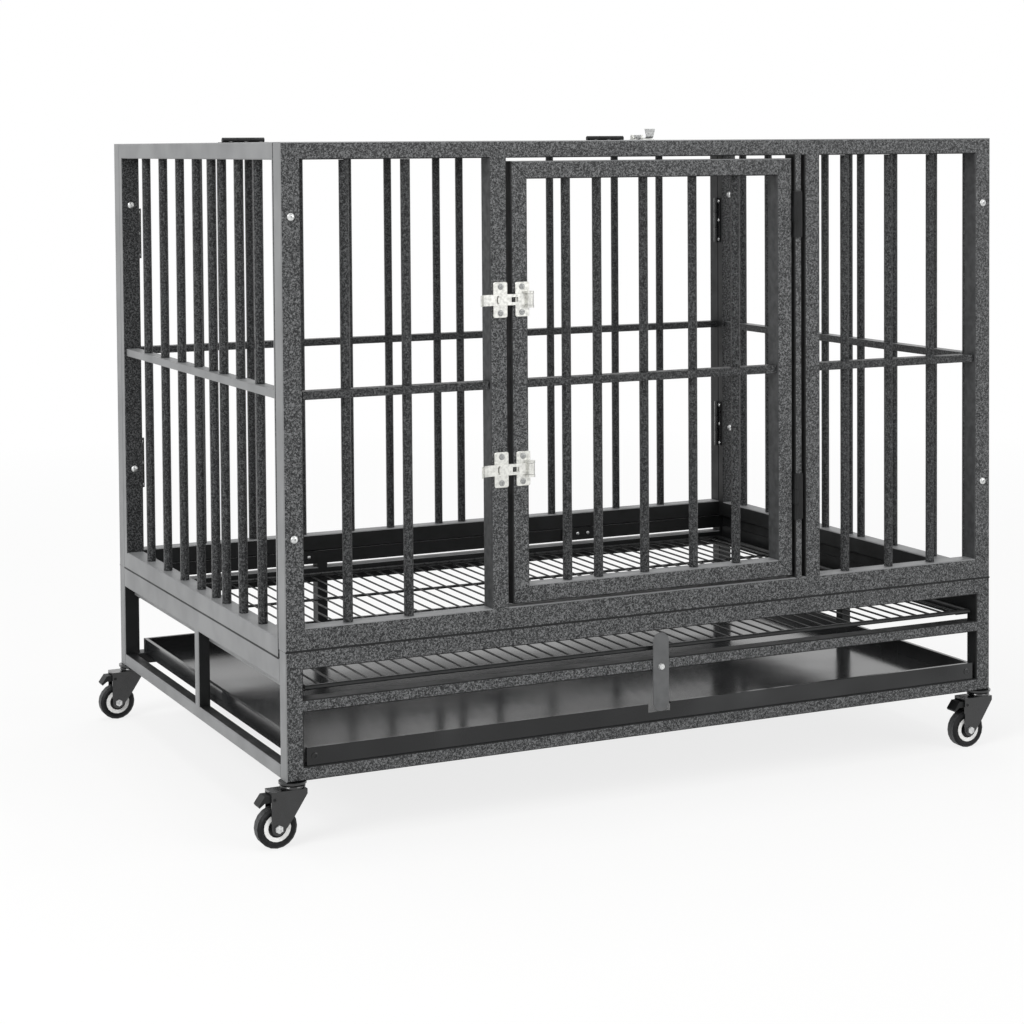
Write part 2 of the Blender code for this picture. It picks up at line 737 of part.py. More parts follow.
def latch_arm(latch, reach, tip):
    """The arm: a ring on the pin, a sheet with a slot for the tongue, and a bent tab."""
    under = -latch["barrel_r"] + latch["arm_lift"]
    middle = under + latch["arm_t"] / 2
    half = latch["arm_half"]
    tab = reach - latch["bend"]
    if latch["flare"] > 1:
        knee = (reach, middle + tab)
    else:
        knee = (latch["bend"] + tab * TAB_KNEE[0], middle + tip * TAB_KNEE[1])
    path = [(0, middle), (latch["bend"], middle), knee, (reach, tip)]
    sheet = slab(thick_line(path, latch["arm_t"]), "XY", -half, half)
    for vert in sheet.data.vertices:
        rise = (vert.co.y - middle) / (tip - middle)
        vert.co.z *= 1 + (latch["flare"] - 1) * max(0.0, rise)
    bore, ring = latch["bore_r"], latch["ring_r"]
    profile = [(bore, -half), (ring, -half), (ring, half), (bore, half)]
    arm = welded(turned(profile, sides=KNUCKLE_SIDES), sheet)
    slot_u = latch["tongue_t"] / 2 + latch["slot_clearance"]
    slot_a = latch["tongue_half"] + latch["slot_end_clearance"]
    depth = (under - latch["arm_t"], under + 2 * latch["arm_t"])
    slot_at = (latch["tongue_at"] - slot_u, latch["tongue_at"] + slot_u)
    cutters = [tube(slot_at, depth, (-slot_a, slot_a), edge=0.0)]
    if latch["notch"]:
        start, end, notch_half = latch["notch"]
        cutters.append(tube((start, end), depth, (-notch_half, notch_half), edge=0.0))
    return cut(arm, *cutters)


def latch_mount(latch):
    """The screwed plate with two ears and the pin that carries the arm."""
    radius = latch["barrel_r"]
    back = -radius - latch["plate_t"]
    half = latch["mount_half"]
    outline = rounded(latch["mount_from"], latch["mount_to"], -half, half, PLATE_CORNER_R)
    plate = slab(outline, "XZ", back, -radius, edge=latch["plate_t"] / 4)
    ear_start = latch["arm_half"] + KNUCKLE_GAP
    root = -radius - latch["plate_t"] / 2
    side = radius * EAR_FOOT_SHARE
    heel = max(-side, latch["mount_from"] + latch["plate_t"] / 2)
    ear = [(heel, root), (side, root)] + arc((0, 0), radius, 0, 180, 8)
    ears = [slab(ear, "XY", low, low + latch["ear_h"]) for low in (ear_start, -ear_start - latch["ear_h"])]
    inside = ear_start + latch["ear_h"] / 2
    pin = rod((0, 0, -inside), (0, 0, inside), latch["pin_r"], 12)
    return welded(welded(plate, *ears), pin)


def latch_keeper(latch):
    """The plate on the post whose tongue comes through the arm's slot."""
    radius = latch["barrel_r"]
    back = -radius - latch["plate_t"]
    half = latch["keeper_half"]
    outline = rounded(latch["keeper_from"], latch["keeper_to"], -half, half, PLATE_CORNER_R)
    plate = slab(outline, "XZ", back, -radius, edge=latch["plate_t"] / 4)
    tip = -radius + latch["arm_lift"] + latch["arm_t"] + latch["tongue_proud"]
    thick = latch["tongue_t"] / 2
    at_u = latch["tongue_at"]
    tall = latch["tongue_half"]
    tongue = tube((at_u - thick, at_u + thick), (back + latch["plate_t"] / 2, tip), (-tall, tall), edge=0.0)
    return welded(plate, tongue)


def front_latches(crate):
    """Two latches on the front: mounts and arms on the door, keepers on the post."""
    turn = Matrix(((-1, 0, 0), (0, -1, 0), (0, 0, 1))).to_4x4()
    axis_x = DOOR_LEFT + LATCH_STILE_INSET
    axis_y = FRONT - FIT - LATCH["plate_t"] - LATCH["barrel_r"]
    for label, share in zip(("upper", "lower"), LATCH_SHARES):
        origin = (axis_x, axis_y, up(share))
        pieces = (
            ("latch_arm_", latch_arm(LATCH, LATCH_REACH, LATCH["tab_rise"]), origin),
            ("latch_mount_", latch_mount(LATCH), DOOR_AXIS),
            ("latch_keeper_", latch_keeper(LATCH), (0, 0, 0)),
        )
        for start, piece, piece_origin in pieces:
            at(moved(piece, turn), *origin)
            node(start + label, piece, BARE_STEEL, origin=piece_origin, parent=crate)


def roof_latch(crate):
    """The latch between the roof lid and the front panel's top rail."""
    turn = Matrix(((0, 0, -1), (-1, 0, 0), (0, 1, 0))).to_4x4()
    axis_y = FRONT_BACK + ROOF_GAP + ROOF_LATCH_INSET
    axis_z = FRAME_TOP + FIT + ROOF_LATCH["plate_t"] + ROOF_LATCH["barrel_r"]
    origin = (ROOF_LATCH_SHARE * FRAME_W, axis_y, axis_z)
    arm = latch_arm(ROOF_LATCH, ROOF_LATCH_REACH, FRAME_TOP + ROOF_LATCH_RISE - axis_z)
    pieces = (
        ("roof_latch_arm", arm, origin),
        ("roof_latch_mount", latch_mount(ROOF_LATCH), ROOF_AXIS),
        ("roof_latch_keeper", latch_keeper(ROOF_LATCH), (0, 0, 0)),
    )
    for name, piece, piece_origin in pieces:
        node(name, at(moved(piece, turn), *origin), BARE_STEEL, origin=piece_origin, parent=crate)


# Base

def grid_runner():
    """The L-shaped runner on the right side's top rail, whose flange carries the floor grid."""
    top = GRID_BOTTOM - FIT
    edge = BASE_SIDE_FACE + RUNNER_SEAT
    leg = BASE_SIDE_FACE - RUNNER_T
    inner = BASE_SIDE_FACE - RUNNER_W
    outline = [(inner, top - RUNNER_T), (edge, top - RUNNER_T), (edge, top + RUNNER_LEG)]
    outline += [(leg, top + RUNNER_LEG), (leg, top), (inner, top)]
    return slab(outline, "XZ", BASE_FRONT_BACK + FIT, BASE_REAR_FACE - FIT)


def tray_rests():
    """Two flat bars that stand out from the rear frame and carry the tray's edges."""
    top = TRAY_BOTTOM - 2 * FIT
    outer = SLIDE_HALF_W - TRAY_REST_INSET
    along = (BASE_FRONT_BACK + FIT, BASE_REAR_FACE + RUNNER_SEAT)
    across = ((-outer, TRAY_REST_W - outer), (outer - TRAY_REST_W, outer))
    return [tube(limits, along, (top - TRAY_REST_T, top), edge=0.0) for limits in across]


def base_side():
    """The right side of the base: two rails, a mid post, and the grid's runner welded on."""
    front, rear = BASE_FRONT_BACK + FIT, BASE_REAR_FACE - FIT
    post = (BASE_MID_POST_Y - BASE_MID_POST_W / 2, BASE_MID_POST_Y + BASE_MID_POST_W / 2)
    low, high = BASE_LOW_RAIL_TOP, SIDE_BASE_TOP - BASE_SIDE_RAIL_H
    outline = [(front, BASE_BOTTOM), (rear, BASE_BOTTOM), (rear, low), (post[1], low)]
    outline += [(post[1], high), (rear, high), (rear, SIDE_BASE_TOP), (front, SIDE_BASE_TOP)]
    outline += [(front, high), (post[0], high), (post[0], low), (front, low)]
    return welded(slab(outline, "YZ", BASE_SIDE_FACE, HALF_W, edge=EDGE), grid_runner())


def base(crate):
    """The base: front and rear frames with the corner posts, and the sides between them."""
    low = BASE_LOW_RAIL_TOP
    post_face = BASE_POST_FACE
    windows = [
        box_outline(-post_face, post_face, low, FRONT_MID_RAIL[0]),
        box_outline(-post_face, post_face, FRONT_MID_RAIL[1], BASE_TOP - BASE_TOP_RAIL_H),
    ]
    outline = box_outline(-HALF_W, HALF_W, BASE_BOTTOM, BASE_TOP)
    front = slab(outline, "XZ", FRONT, BASE_FRONT_BACK, windows, EDGE)
    node("base_front", welded(front, turn_screw()), PAINT_GREY, parent=crate)

    post = (REAR_POST_X - REAR_POST_W / 2, REAR_POST_X + REAR_POST_W / 2)
    heights = ((low, REAR_MID_RAIL[0]), (REAR_MID_RAIL[1], SIDE_BASE_TOP - BASE_REAR_RAIL_H))
    windows = [box_outline(-post_face, post[0], *height) for height in heights]
    windows += [box_outline(post[1], post_face, *height) for height in heights]
    outline = box_outline(-HALF_W, HALF_W, BASE_BOTTOM, SIDE_BASE_TOP)
    rear = slab(outline, "XZ", BASE_REAR_FACE, REAR, windows, EDGE)
    node("base_rear", welded(rear, *tray_rests()), PAINT_GREY, parent=crate)

    node("base_right", base_side(), PAINT_GREY, parent=crate)
    left = moved(base_side(), Matrix.Scale(-1, 4, (1, 0, 0)))
    left.data.flip_normals()
    node("base_left", left, PAINT_GREY, parent=crate)


def floor_grid(crate):
    """The wire floor grid: wires front to back in a rim of thicker wire, over cross rods."""
    half = SLIDE_HALF_W
    front = FRONT + GRID_FRONT
    rear = BASE_REAR_FACE - GRID_REAR_GAP
    rim_low = GRID_BOTTOM + GRID_RIM_LIFT
    rim_w = GRID_RIM_D
    window = box_outline(-half + rim_w, half - rim_w, front + rim_w, rear - rim_w)
    outline = box_outline(-half, half, front, rear)
    rim = slab(outline, "XY", rim_low, rim_low + GRID_RIM_D, [window], GRID_RIM_EDGE)
    seat = GRID_RIM_D / 2
    rod_z = GRID_BOTTOM + GRID_ROD_D / 2
    wire_z = GRID_BOTTOM + GRID_ROD_D + FIT + GRID_WIRE_D / 2
    count = round(2 * half / GRID_PITCH) - 1
    wires = []
    for place in even_steps(-half, half, count):
        ends = (place, front + seat, wire_z), (place, rear - seat, wire_z)
        wires.append(rod(*ends, GRID_WIRE_D / 2, GRID_WIRE_SIDES))
    rods = []
    for place in even_steps(front, rear, GRID_ROD_COUNT):
        ends = (-half + seat, place, rod_z), (half - seat, place, rod_z)
        rods.append(rod(*ends, GRID_ROD_D / 2, GRID_ROD_SIDES))
    grid = welded(rim, *wires, *rods)
    node("floor_grid", grid, PAINT_GREY, origin=(0, front, GRID_BOTTOM), parent=crate)


def tray(crate):
    """The sheet tray with hemmed rims, notched in front for the turn plate."""
    half = SLIDE_HALF_W
    front = FRONT + TRAY_FRONT
    rear = BASE_REAR_FACE - TRAY_REAR_GAP
    top = TRAY_BOTTOM + TRAY_HEIGHT
    pan = slab(box_outline(-half, half, front, rear), "XY", TRAY_BOTTOM, top)
    inner = box_outline(-half + TRAY_HEM_W, half - TRAY_HEM_W, front + TRAY_HEM_W, rear - TRAY_HEM_W)
    mouth = slab(inner, "XY", top - TRAY_HEM_H * 2, top + TRAY_HEM_H)
    wall = TRAY_SHEET
    room = box_outline(-half + wall, half - wall, front + wall, rear - wall)
    pocket = slab(room, "XY", TRAY_BOTTOM + TRAY_SHEET, top - TRAY_HEM_H)
    pan = cut(cut(pan, mouth), pocket)
    notch_half = TURN_PLATE_W / 2 + TRAY_NOTCH_CLEARANCE
    notch = tube(
        (TURN_PLATE_X - notch_half, TURN_PLATE_X + notch_half),
        (front - TRAY_HEM_W, front + 2 * TRAY_HEM_W),
        (top - TRAY_NOTCH_DEPTH, top + TRAY_HEM_H),
        edge=0.0,
    )
    node("tray", cut(pan, notch), TRAY_STEEL, origin=(0, front, TRAY_BOTTOM), parent=crate)


def turn_screw():
    """The screw fixed in the front mid rail, on which the turn plate turns."""
    head = -FRONT + TURN_PLATE_T + 2 * FIT
    seat = -FRONT - BASE_TUBE / 2
    profile = [(0, seat), (TURN_SCREW_R, seat), (TURN_SCREW_R, head), (TURN_SCREW_HEAD_R, head)]
    top = head + TURN_SCREW_HEAD_H
    profile += [(TURN_SCREW_HEAD_R * TURN_SCREW_DOME_SHARE, top), (0, top)]
    screw = moved(turned(profile, sides=16), Matrix.Rotation(math.radians(90), 4, "X"))
    return at(screw, TURN_PLATE_X, 0, TURN_PIVOT_Z)


def turn_plate(crate):
    """The round-ended plate that turns on the front mid rail's screw."""
    radius = TURN_PLATE_W / 2
    outline = arc((TURN_PLATE_X, TURN_PLATE_TOP - radius), radius, 0, 180, 12)
    outline += arc((TURN_PLATE_X, TURN_PLATE_BOTTOM + radius), radius, 180, 360, 12)
    back = FRONT - FIT
    front = back - TURN_PLATE_T
    plate = slab(outline, "XZ", front, back, edge=TURN_PLATE_T / 6)
    pivot = (TURN_PLATE_X, (front + back) / 2, TURN_PIVOT_Z)
    hole_r = TURN_SCREW_R + TURN_SCREW_CLEARANCE
    hole = rod((pivot[0], front - PANEL_T, pivot[2]), (pivot[0], back + PANEL_T, pivot[2]), hole_r, 16)
    node("turn_plate", cut(plate, hole), PAINT_GREY, origin=pivot, parent=crate)


# Casters, drawn about the stem's axis, with the wheel trailing towards -X

def caster_mount():
    """The top plate, its swivel head and the kingpin, turned as one."""
    plate_top = BASE_BOTTOM - FIT
    plate_low = plate_top - MOUNT_PLATE_T
    head_low = CROWN_TOP + FIT
    pin_low = CROWN_TOP - CROWN_T - 2 * FIT
    profile = [(0, pin_low - KINGPIN_HEAD_T), (KINGPIN_HEAD_R, pin_low - KINGPIN_HEAD_T)]
    profile += [(KINGPIN_HEAD_R, pin_low), (KINGPIN_R, pin_low), (KINGPIN_R, head_low)]
    profile += [(MOUNT_HEAD_R, head_low), (MOUNT_HEAD_R, plate_low), (MOUNT_PLATE_R, plate_low)]
    profile += [(MOUNT_PLATE_R, plate_top), (0, plate_top)]
    return turned(profile)


def caster_fork():
    """The pressed fork: a side outline, hollowed for the wheel, with its round holes."""
    axle = (-TRAIL, WHEEL_R)
    half = WHEEL_W / 2 + (HUB_HALF - WHEEL_W / 2) + CHEEK_GAP
    outline = [(FORK_FRONT, CROWN_TOP), (-TRAIL - FORK_REAR, CROWN_TOP)]
    outline += arc(axle, FORK_REAR, 180, 335, 8) + [FORK_WAIST, (FORK_FRONT, CROWN_TOP - 2 * CROWN_T)]
    fork = slab(outline, "XZ", -half - CHEEK_T, half + CHEEK_T)
    room = box_outline(-TRAIL - 2 * WHEEL_R, FORK_FRONT + CROWN_T, -CROWN_T, CROWN_TOP - CROWN_T)
    hollow = slab(room, "XZ", -half, half)
    stem_hole = rod((0, 0, CROWN_TOP - 2 * CROWN_T), (0, 0, CROWN_TOP + CROWN_T), KINGPIN_R + FIT, 16)
    reach = half + 2 * CHEEK_T
    axle_hole = rod((axle[0], -reach, axle[1]), (axle[0], reach, axle[1]), AXLE_R + FIT, 12)
    x, z = BRAKE_PIVOT
    brake_hole = rod((x, -reach, z), (x, reach, z), BRAKE_PIN_R + FIT, 10)
    return cut(cut(fork, hollow), stem_hole, axle_hole, brake_hole)


def caster_axle():
    """The axle bolt with a hexagon at each end."""
    seat = HUB_HALF + CHEEK_GAP + CHEEK_T + FIT
    end = seat + AXLE_HEAD_T / 2
    bolt = rod((-TRAIL, -end, WHEEL_R), (-TRAIL, end, WHEEL_R), AXLE_R, 12)
    heads = []
    for side in (-1, 1):
        ends = (-TRAIL, side * seat, WHEEL_R), (-TRAIL, side * (seat + AXLE_HEAD_T), WHEEL_R)
        heads.append(rod(*ends, AXLE_HEAD_R, 6))
    return welded(bolt, *heads)


def caster_brake():
    """The brake lever: a block between the cheeks on its own pin, with a pedal behind."""
    x, z = BRAKE_PIVOT
    toe_x, toe_z = BRAKE_TOE
    front = x + BRAKE_FRONT
    slope = toe_x + BRAKE_SLOPE
    body = [(front, z + BRAKE_ABOVE), (slope, z + BRAKE_ABOVE)]
    body += [(toe_x - BRAKE_TOE_T / 2, toe_z + BRAKE_TOE_T), (toe_x, toe_z)]
    body += [(slope, z - BRAKE_BELOW), (front, z - BRAKE_BELOW)]
    block = slab(body, "XZ", -BRAKE_W / 2, BRAKE_W / 2)
    reach = HUB_HALF + CHEEK_GAP + CHEEK_T
    pin = rod((x, -reach, z), (x, reach, z), BRAKE_PIN_R, 10)
    return welded(block, pin)


def wheel_core():
    """The moulded wheel: hub, a web, and the ring that carries the tyre."""
    rim_half = WHEEL_W / 2 - RING_RECESS
    bore = AXLE_R + AXLE_CLEARANCE
    web_half = rim_half - 2 * RING_RECESS
    profile = [(bore, -HUB_HALF), (HUB_R, -HUB_HALF), (HUB_R, -web_half), (RING_INNER_R, -web_half)]
    profile += [(RING_INNER_R, -rim_half), (RIM_R, -rim_half)]
    profile += [(radius, -height) for radius, height in reversed(profile)]
    return turned(profile, "Y")


def tyre():
    """The tyre with rounded shoulders."""
    inner = RIM_R + FIT
    half = WHEEL_W / 2
    round_off = half / 3
    profile = [(inner, -half + round_off / 2), (inner + round_off, -half), (WHEEL_R - round_off, -half)]
    profile += [(WHEEL_R, -half + round_off)]
    profile += [(radius, -height) for radius, height in reversed(profile)]
    return turned(profile, "Y")


def casters(crate):
    """Four casters, one under each corner post."""
    corners = (
        ("front_left", -1, -1),
        ("front_right", 1, -1),
        ("rear_left", -1, 1),
        ("rear_right", 1, 1),
    )
    for label, side, end in corners:
        x = side * (HALF_W - STEM_INSET)
        y = end * (HALF_D - STEM_INSET)
        stem = bpy.data.objects.new("caster_" + label, None)
        bpy.context.scene.collection.objects.link(stem)
        stem.parent = crate
        stem.location = (x, y, 0)
        axle = (x - TRAIL, y, WHEEL_R)
        pivot = (x + BRAKE_PIVOT[0], y, BRAKE_PIVOT[1])
        pieces = (
            ("mount_", at(caster_mount(), x, y, 0), BLACK_STEEL, (x, y, 0)),
            ("fork_", at(caster_fork(), x, y, 0), BLACK_STEEL, (x, y, 0)),
            ("axle_", at(caster_axle(), x, y, 0), BARE_STEEL, axle),
            ("brake_", at(caster_brake(), x, y, 0), PAINT_BLACK, pivot),
            ("wheel_", at(wheel_core(), *axle), WHITE_PLASTIC, axle),
            ("tyre_", at(tyre(), *axle), TYRE_RUBBER, axle),
        )
        for start, piece, look, origin in pieces:
            node(start + label, piece, look, origin=origin, parent=stem)


def centre(crate):
    """Move the crate so that its box is centred on the origin in X and Y."""
    bpy.context.view_layer.update()
    corners = []
    for thing in bpy.data.objects:
        if thing.type == "MESH":
            corners += [thing.matrix_world @ vert.co for vert in thing.data.vertices]
    for axis in (0, 1):
        places = [corner[axis] for corner in corners]
        crate.location[axis] = -(min(places) + max(places)) / 2
    bpy.context.view_layer.update()


def main():
    """Clear the scene and build the crate."""
    for thing in list(bpy.data.objects):
        bpy.data.objects.remove(thing)
    crate = bpy.data.objects.new("crate", None)
    bpy.context.scene.collection.objects.link(crate)
    front_frame(crate)
    rear_panel(crate)
    side_panel(crate, "left_panel", -1, LEFT_BARS)
    side_panel(crate, "right_panel", 1, RIGHT_BARS)
    corner_hinges(crate)
    door(crate)
    door_hinges(crate)
    front_latches(crate)
    roof_lid(crate)
    roof_hinges(crate)
    roof_latch(crate)
    base(crate)
    floor_grid(crate)
    tray(crate)
    turn_plate(crate)
    casters(crate)
    centre(crate)


main()
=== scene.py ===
import math

import bmesh
import bpy
from mathutils import Matrix, Vector


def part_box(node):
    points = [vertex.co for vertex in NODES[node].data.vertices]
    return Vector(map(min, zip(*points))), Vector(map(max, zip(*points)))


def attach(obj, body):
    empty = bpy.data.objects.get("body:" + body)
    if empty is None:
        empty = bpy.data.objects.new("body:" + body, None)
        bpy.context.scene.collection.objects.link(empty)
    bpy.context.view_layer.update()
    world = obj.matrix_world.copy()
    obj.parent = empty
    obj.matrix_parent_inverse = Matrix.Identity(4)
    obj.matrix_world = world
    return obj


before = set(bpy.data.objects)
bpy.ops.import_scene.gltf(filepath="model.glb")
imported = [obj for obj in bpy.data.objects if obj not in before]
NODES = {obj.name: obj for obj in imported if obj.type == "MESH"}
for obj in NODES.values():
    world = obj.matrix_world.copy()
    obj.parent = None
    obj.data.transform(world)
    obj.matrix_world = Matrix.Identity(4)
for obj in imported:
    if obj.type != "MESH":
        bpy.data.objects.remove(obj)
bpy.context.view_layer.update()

# The camera, fitted to the photograph's corners, in the crate's own coordinates: pixels,
# metres and degrees
IMAGE_PX = 1024
FOCAL_PX = 2302.7
CENTRE_PX = (553.0, 241.8)
CAMERA_PLACE = Vector((-1.409, -2.920, 0.830))
CAMERA_AZIMUTH = 26.1
CAMERA_DOWN = 2.4
CAMERA_ROLL = -0.37
SENSOR_MM = 36.0
VIEW_DEPTH = 100.0

# Lamps: name, place, the point it is aimed at, width in metres and power in watts
LAMPS = (
    ("key", (-4.2, -2.2, 3.0), (0, 0, 0.4), 2.2, 140),
    ("fill", (2.6, -4.2, 1.8), (0, 0, 0.4), 2.6, 55),
    ("top", (0.0, 0.3, 4.0), (0, 0, 0.3), 2.6, 60),
)

# The room's light on the crate, where 1 is white
ROOM_LIGHT = 0.42

# The floor's half width and the ring in which the crate's shadow fades out, in metres, and
# the share of plain white in the floor inside that ring
FLOOR_HALF = 30.0
FADE_START = 1.0
FADE_END = 3.5
NEAR_WHITE = 0.8

# The panels' boxes, and the middle of the frame, to which the camera's place refers
LEFT_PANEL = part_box("left_panel")
RIGHT_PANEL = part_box("right_panel")
FRONT_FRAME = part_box("front_frame")
REAR_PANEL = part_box("rear_panel")
FRAME_MIDDLE = Vector((
    (LEFT_PANEL[0].x + RIGHT_PANEL[1].x) / 2,
    (FRONT_FRAME[0].y + REAR_PANEL[1].y) / 2,
    0.0,
))
FRONT_Y = FRONT_FRAME[0].y
HALF_W = RIGHT_PANEL[1].x - FRAME_MIDDLE.x

# Margins from a panel's box to its window: the two ends, the bottom and the top, in metres
PANEL_MARGINS = {
    "rear_panel": (0.026, 0.026, 0.0245, 0.022),
    "left_panel": (0.006, 0.016, 0.0245, 0.022),
    "right_panel": (0.006, 0.016, 0.0245, 0.022),
    "door": (0.023, 0.023, 0.023, 0.023),
}

# From where to where, from the frame's middle, a front's faces that look left are painted near
# black as shade
LEFT_FACE_SHADE_SPANS = {
    "front_frame": (-0.205, 0.22),
    "base_front": (-0.5, 0.5),
    "door": (-0.3, -0.205),
}

# A face looks along an axis when this share of its normal does: squarely, or at a slant
SQUARE_ON = 0.5
ASLANT = 0.3

# Outer faces lie this near to the crate's ends, in metres
END_DEPTH = 0.004

# In a side panel's window, faces less tall than this are the mid rail's, in metres
MID_RAIL_TALL = 0.03

# The black hub inside a wheel's white ring, in metres
HUB_R = 0.0118

# Edges that bend less than this are shaded smooth
SMOOTH_DEGREES = 35.0

# Bolts through the corner posts and the side panels' rear end bars, in metres
REAR_END_BAR = 0.015
BOLT_R = 0.0048
BOLT_H = 0.0026
BOLT_HEIGHTS = (0.748, 0.367)
BOLT_INSET = 0.0125

# Screws of the latches, the hinges and the tray, in metres
SCREW_R = 0.0027
SCREW_H = 0.0009
LATCH_SCREW_R = 0.0037
LATCH_SCREW_FROM_SIDE = 0.0085
LATCH_SCREW_FROM_END = 0.0058
LATCH_PLATE_T = 0.002
HINGE_LEAF_T = 0.0013
CORNER_SCREW_R = 0.0025
CORNER_SCREW_STEP = 0.031
CORNER_SCREW_INSET = 0.0029
ROOF_SCREW_STEP = 0.023
ROOF_SCREW_INSET = 0.008
TRAY_BOLT_R = 0.0042
TRAY_BOLT_INSET = 0.010

# Joint plates inside the rear upper base rail, in metres
PLATE_SIZE = (0.056, 0.002, 0.0185)
PLATE_ROUND = 0.003
PLATE_X = 0.2264
PLATE_SCREW_STEP = 0.018
BASE_RAIL_T = 0.022

# Rolled rings round the casters' heads, in metres
RACE_R = 0.0139
RACE_ROUND = 0.0017
RACE_GAP = 0.0026
RACE_SIDES = 8

# Widths of the dark lines of painted shade in the base's seams and of the door's mitre lines, in
# metres, and how far a mitre line reaches, as a share of the door's tube
SEAM_SHADE = 0.0023
MITRE = 0.0009
MITRE_REACH = 1.3
DOOR_TUBE = 0.022

# How thin a line lies on a face, or how far a screw stands off it, in metres
SKIN = 0.0002

# Sides of a turned piece
SIDES = 24


# Colours and shader nodes

def linear(code):
    """An sRGB hex code as the linear colour that Blender's nodes use."""
    parts = [int(code[start:start + 2], 16) / 255 for start in (0, 2, 4)]
    return (*[p / 12.92 if p <= 0.04045 else ((p + 0.055) / 1.055) ** 2.4 for p in parts], 1.0)


def add(tree, kind, links=None, stops=None, inputs=None, **settings):
    """Add a shader node, set its properties, sockets and ramp stops, and link into it."""
    node = tree.nodes.new(kind)
    for name, value in settings.items():
        setattr(node, name, value)
    for name, value in (inputs or {}).items():
        node.inputs[name].default_value = value
    for name, source in (links or {}).items():
        tree.links.new(source, node.inputs[name])
    if stops:
        elements = node.color_ramp.elements
        while len(elements) < len(stops):
            elements.new(0.5)
        for element, (place, code) in zip(elements, stops):
            element.position = place
            element.color = linear(code)
    return node


# Noise seldom leaves this range, and over it the roughness swings this far either way
NOISE_RANGE = (0.3, 0.7)
SHINE_SWING = 0.06

# How finely the noise of the relief is broken up
PEEL_DETAIL = 2.0


def surface(name, tones, blot_mm, peel_mm, peel_height_mm, roughness,
            metallic=0.0, coat=0.0, gloss=0.5, detail=2.0, warp=0.0, relief=0.5):
    """A painted, plated or moulded surface: blots of tone, changing gloss and a fine relief.

    Tones are (share, sRGB code) stops for the blots; the sizes are millimetres on the object.
    """
    material = bpy.data.materials.new(name)
    material.use_nodes = True
    tree = material.node_tree
    shader = tree.nodes["Principled BSDF"]
    shader.inputs["Metallic"].default_value = metallic
    shader.inputs["Coat Weight"].default_value = coat
    shader.inputs["Specular IOR Level"].default_value = gloss
    where = add(tree, "ShaderNodeTexCoord").outputs["Object"]
    blots = add(tree, "ShaderNodeTexNoise", {"Vector": where}, inputs={
        "Scale": 1000 / blot_mm, "Detail": detail, "Distortion": warp,
    })
    tone = add(tree, "ShaderNodeValToRGB", {"Fac": blots.outputs["Fac"]}, stops=tones)
    tree.links.new(tone.outputs["Color"], shader.inputs["Base Color"])
    shine = add(tree, "ShaderNodeMapRange", {"Value": blots.outputs["Fac"]}, inputs={
        "From Min": NOISE_RANGE[0], "From Max": NOISE_RANGE[1],
        "To Min": roughness + SHINE_SWING, "To Max": roughness - SHINE_SWING,
    })
    tree.links.new(shine.outputs["Result"], shader.inputs["Roughness"])
    peel = add(tree, "ShaderNodeTexNoise", {"Vector": where}, inputs={
        "Scale": 1000 / peel_mm, "Detail": PEEL_DETAIL, "Distortion": warp,
    })
    bump = add(tree, "ShaderNodeBump", {"Height": peel.outputs["Fac"]}, inputs={
        "Distance": peel_height_mm / 1000, "Strength": relief,
    })
    tree.links.new(bump.outputs["Normal"], shader.inputs["Normal"])
    return material


# Hammered enamel on steel tube, sprayed: worm-like flecks of light and dark grey. The real
# flecks are about 1 mm, drawn at 2 mm so that they show.
HAMMERED = surface(
    "hammered_grey_enamel", [(0.40, "1c1d1e"), (0.50, "3c3d3e"), (0.60, "707172")],
    blot_mm=2.1, peel_mm=2.1, peel_height_mm=0.4, roughness=0.42, gloss=0.3, warp=1.1,
)

# The same enamel on the round bars, where less light reaches it: painted shade, darker, with the
# same flecks
SHADED_BAR_ENAMEL = surface(
    "hammered_enamel_painted_shade", [(0.40, "0f1011"), (0.50, "262728"), (0.60, "535455")],
    blot_mm=2.1, peel_mm=2.1, peel_height_mm=0.4, roughness=0.42, gloss=0.25, warp=1.1,
)

# The same enamel on the sides of the tubes that face the windows: painted shade, satin, dark, a
# few soft clouds
REVEAL_SHADE_ENAMEL = surface(
    "satin_enamel_painted_shade", [(0.35, "2e2f30"), (0.65, "3c3d3e")],
    blot_mm=9.0, peel_mm=2.0, peel_height_mm=0.1, roughness=0.45, gloss=0.3,
)

# The same enamel on the faces that take the light from the left and on upper faces: painted
# light, smooth mid grey, faint clouds
LIT_FACE_ENAMEL = surface(
    "satin_enamel_painted_light", [(0.35, "78797a"), (0.65, "818283")],
    blot_mm=60.0, peel_mm=2.0, peel_height_mm=0.05, roughness=0.45,
)

# Near black satin enamel with orange peel: painted shade on the frames' faces inside the cage,
# underneath and in the seams; the small hinges and brake levers are black
INNER_SHADE_AND_BLACK_ENAMEL = surface(
    "satin_black_enamel_and_painted_shade", [(0.35, "121313"), (0.65, "191a1b")],
    blot_mm=30.0, peel_mm=2.5, peel_height_mm=0.1, roughness=0.5, gloss=0.25,
)

# Plain grey paint on the turn plate: even, barely mottled
PLATE_PAINT = surface(
    "plain_grey_paint", [(0.35, "595a5b"), (0.65, "616263")],
    blot_mm=12.0, peel_mm=2.0, peel_height_mm=0.05, roughness=0.45, gloss=0.3,
)

# Painted steel sheet, rolled: smooth satin black with long soft reflections
TRAY_SHEET = surface(
    "satin_black_sheet", [(0.38, "101112"), (0.50, "191a1b"), (0.64, "2f3031")],
    blot_mm=170.0, peel_mm=60.0, peel_height_mm=0.3, roughness=0.16, gloss=0.4, relief=0.3,
)

# Powder coated steel of the casters' forks and the corner hinges: black, slight peel, soft shine
BLACK_COATING = surface(
    "black_coated_steel", [(0.35, "101112"), (0.70, "191a1b")],
    blot_mm=10.0, peel_mm=1.8, peel_height_mm=0.08, roughness=0.25, coat=0.4,
)

